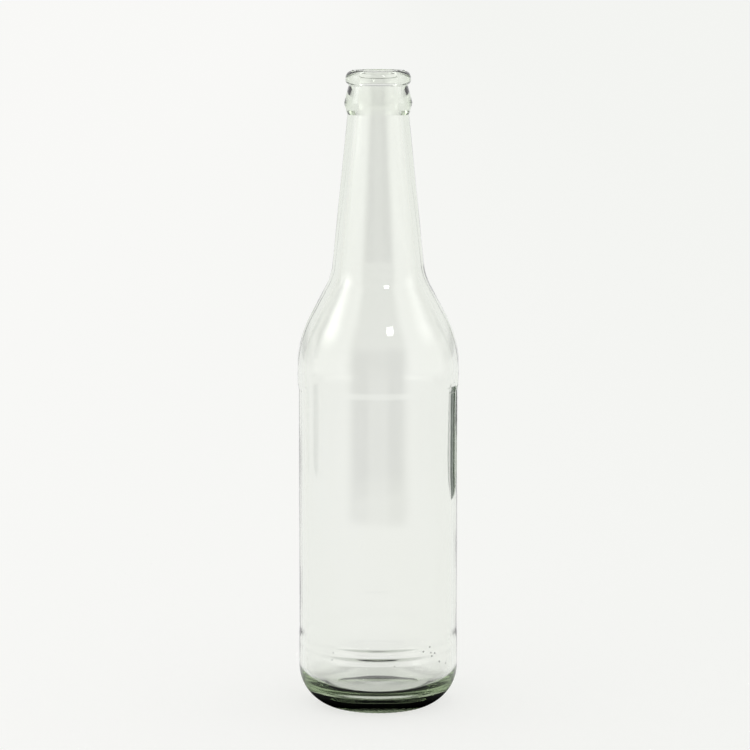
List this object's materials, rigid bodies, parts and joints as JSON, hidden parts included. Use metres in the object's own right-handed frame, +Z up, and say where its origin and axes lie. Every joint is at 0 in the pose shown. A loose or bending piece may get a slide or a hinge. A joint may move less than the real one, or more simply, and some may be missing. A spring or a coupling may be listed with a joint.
{
  "type": "beer bottle",
  "caption": "Clear glass long-neck bottle with a crown finish, sloping shoulder, recessed label panel and heavy rounded base, empty and open.",
  "frame": {"origin": "middle of the base, on the plane the bottle stands on", "axes": "+Z up along the bottle's axis, towards the mouth; X and Y are alike, as the bottle is turned"},
  "size_m": [0.0666, 0.0666, 0.263],
  "materials": {
    "clear_glass": "glossy, clear with a faint green tint, darker where it is thick"
  },
  "bodies": {
    "root": {"bottle": "clear_glass"}
  },
  "joints": []
}
